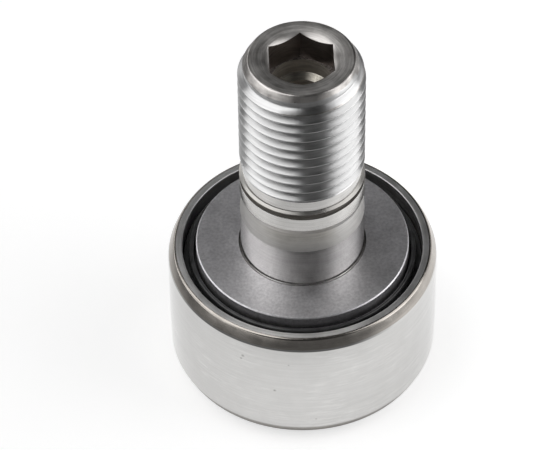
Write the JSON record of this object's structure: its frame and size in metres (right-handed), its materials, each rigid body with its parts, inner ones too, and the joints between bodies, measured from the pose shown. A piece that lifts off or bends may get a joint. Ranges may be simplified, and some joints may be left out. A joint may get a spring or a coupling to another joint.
{
  "type": "stud cam follower",
  "caption": "Track roller with a crowned outer ring on caged needle rollers, sealed at both sides, on a headed stud with a ground shank, threaded end and hexagon socket.",
  "frame": {"origin": "middle of the head's end face, on the stud's axis, where the follower stands", "axes": "+Z runs along the stud from its head to its threaded end; +Y is the side of the grease hole in the shank"},
  "size_m": [0.035, 0.035, 0.052],
  "materials": {
    "turned_steel": "turned and ground, bright",
    "washer_steel": "satin, hardened grey",
    "ground_steel": "ground and polished tread, satin edges",
    "seal_plastic": "moulded, black",
    "cage_steel": "pressed, dull",
    "roller_steel": "ground and polished"
  },
  "bodies": {
    "stud": {"stud": "turned_steel", "side_washer": "washer_steel"},
    "outer_ring": {"outer_ring": "ground_steel", "seal_ring_stud_side": "seal_plastic", "seal_ring_head_side": "seal_plastic"},
    "needle_cage": {"needle_cage": "cage_steel"},
    "needle_roller_01": {"needle_roller_01": "roller_steel"},
    "needle_roller_02": {"needle_roller_02": "roller_steel"},
    "needle_roller_03": {"needle_roller_03": "roller_steel"},
    "needle_roller_04": {"needle_roller_04": "roller_steel"},
    "needle_roller_05": {"needle_roller_05": "roller_steel"},
    "needle_roller_06": {"needle_roller_06": "roller_steel"},
    "needle_roller_07": {"needle_roller_07": "roller_steel"},
    "needle_roller_08": {"needle_roller_08": "roller_steel"},
    "needle_roller_09": {"needle_roller_09": "roller_steel"},
    "needle_roller_10": {"needle_roller_10": "roller_steel"},
    "needle_roller_11": {"needle_roller_11": "roller_steel"},
    "needle_roller_12": {"needle_roller_12": "roller_steel"},
    "needle_roller_13": {"needle_roller_13": "roller_steel"},
    "needle_roller_14": {"needle_roller_14": "roller_steel"},
    "needle_roller_15": {"needle_roller_15": "roller_steel"},
    "needle_roller_16": {"needle_roller_16": "roller_steel"}
  },
  "joints": [
    {"name": "ring_turn", "type": "hinge", "parent": "stud", "child": "outer_ring", "pos_m": [0, 0, 0.00975], "axis": [0, 0, 1], "continuous": true},
    {"name": "cage_turn", "type": "hinge", "parent": "stud", "child": "needle_cage", "pos_m": [0, 0, 0.00975], "axis": [0, 0, 1], "continuous": true},
    {"name": "roller_spin_01", "type": "hinge", "parent": "needle_cage", "child": "needle_roller_01", "pos_m": [0.01153, 0, 0.00975], "axis": [0, 0, 1], "continuous": true},
    {"name": "roller_spin_02", "type": "hinge", "parent": "needle_cage", "child": "needle_roller_02", "pos_m": [0.01065, 0.00441, 0.00975], "axis": [0, 0, 1], "continuous": true},
    {"name": "roller_spin_03", "type": "hinge", "parent": "needle_cage", "child": "needle_roller_03", "pos_m": [0.00815, 0.00815, 0.00975], "axis": [0, 0, 1], "continuous": true},
    {"name": "roller_spin_04", "type": "hinge", "parent": "needle_cage", "child": "needle_roller_04", "pos_m": [0.00441, 0.01065, 0.00975], "axis": [0, 0, 1], "continuous": true},
    {"name": "roller_spin_05", "type": "hinge", "parent": "needle_cage", "child": "needle_roller_05", "pos_m": [0, 0.01153, 0.00975], "axis": [0, 0, 1], "continuous": true},
    {"name": "roller_spin_06", "type": "hinge", "parent": "needle_cage", "child": "needle_roller_06", "pos_m": [-0.00441, 0.01065, 0.00975], "axis": [0, 0, 1], "continuous": true},
    {"name": "roller_spin_07", "type": "hinge", "parent": "needle_cage", "child": "needle_roller_07", "pos_m": [-0.00815, 0.00815, 0.00975], "axis": [0, 0, 1], "continuous": true},
    {"name": "roller_spin_08", "type": "hinge", "parent": "needle_cage", "child": "needle_roller_08", "pos_m": [-0.01065, 0.00441, 0.00975], "axis": [0, 0, 1], "continuous": true},
    {"name": "roller_spin_09", "type": "hinge", "parent": "needle_cage", "child": "needle_roller_09", "pos_m": [-0.01153, 0, 0.00975], "axis": [0, 0, 1], "continuous": true},
    {"name": "roller_spin_10", "type": "hinge", "parent": "needle_cage", "child": "needle_roller_10", "pos_m": [-0.01065, -0.00441, 0.00975], "axis": [0, 0, 1], "continuous": true},
    {"name": "roller_spin_11", "type": "hinge", "parent": "needle_cage", "child": "needle_roller_11", "pos_m": [-0.00815, -0.00815, 0.00975], "axis": [0, 0, 1], "continuous": true},
    {"name": "roller_spin_12", "type": "hinge", "parent": "needle_cage", "child": "needle_roller_12", "pos_m": [-0.00441, -0.01065, 0.00975], "axis": [0, 0, 1], "continuous": true},
    {"name": "roller_spin_13", "type": "hinge", "parent": "needle_cage", "child": "needle_roller_13", "pos_m": [0, -0.01153, 0.00975], "axis": [0, 0, 1], "continuous": true},
    {"name": "roller_spin_14", "type": "hinge", "parent": "needle_cage", "child": "needle_roller_14", "pos_m": [0.00441, -0.01065, 0.00975], "axis": [0, 0, 1], "continuous": true},
    {"name": "roller_spin_15", "type": "hinge", "parent": "needle_cage", "child": "needle_roller_15", "pos_m": [0.00815, -0.00815, 0.00975], "axis": [0, 0, 1], "continuous": true},
    {"name": "roller_spin_16", "type": "hinge", "parent": "needle_cage", "child": "needle_roller_16", "pos_m": [0.01065, -0.00441, 0.00975], "axis": [0, 0, 1], "continuous": true}
  ],
  "couplings": [
    {"joint": "cage_turn", "follows": "ring_turn", "ratio": 0.56505},
    {"joint": "roller_spin_01", "follows": "ring_turn", "ratio": 3.7783},
    {"joint": "roller_spin_02", "follows": "ring_turn", "ratio": 3.7783},
    {"joint": "roller_spin_03", "follows": "ring_turn", "ratio": 3.7783},
    {"joint": "roller_spin_04", "follows": "ring_turn", "ratio": 3.7783},
    {"joint": "roller_spin_05", "follows": "ring_turn", "ratio": 3.7783},
    {"joint": "roller_spin_06", "follows": "ring_turn", "ratio": 3.7783},
    {"joint": "roller_spin_07", "follows": "ring_turn", "ratio": 3.7783},
    {"joint": "roller_spin_08", "follows": "ring_turn", "ratio": 3.7783},
    {"joint": "roller_spin_09", "follows": "ring_turn", "ratio": 3.7783},
    {"joint": "roller_spin_10", "follows": "ring_turn", "ratio": 3.7783},
    {"joint": "roller_spin_11", "follows": "ring_turn", "ratio": 3.7783},
    {"joint": "roller_spin_12", "follows": "ring_turn", "ratio": 3.7783},
    {"joint": "roller_spin_13", "follows": "ring_turn", "ratio": 3.7783},
    {"joint": "roller_spin_14", "follows": "ring_turn", "ratio": 3.7783},
    {"joint": "roller_spin_15", "follows": "ring_turn", "ratio": 3.7783},
    {"joint": "roller_spin_16", "follows": "ring_turn", "ratio": 3.7783}
  ]
}
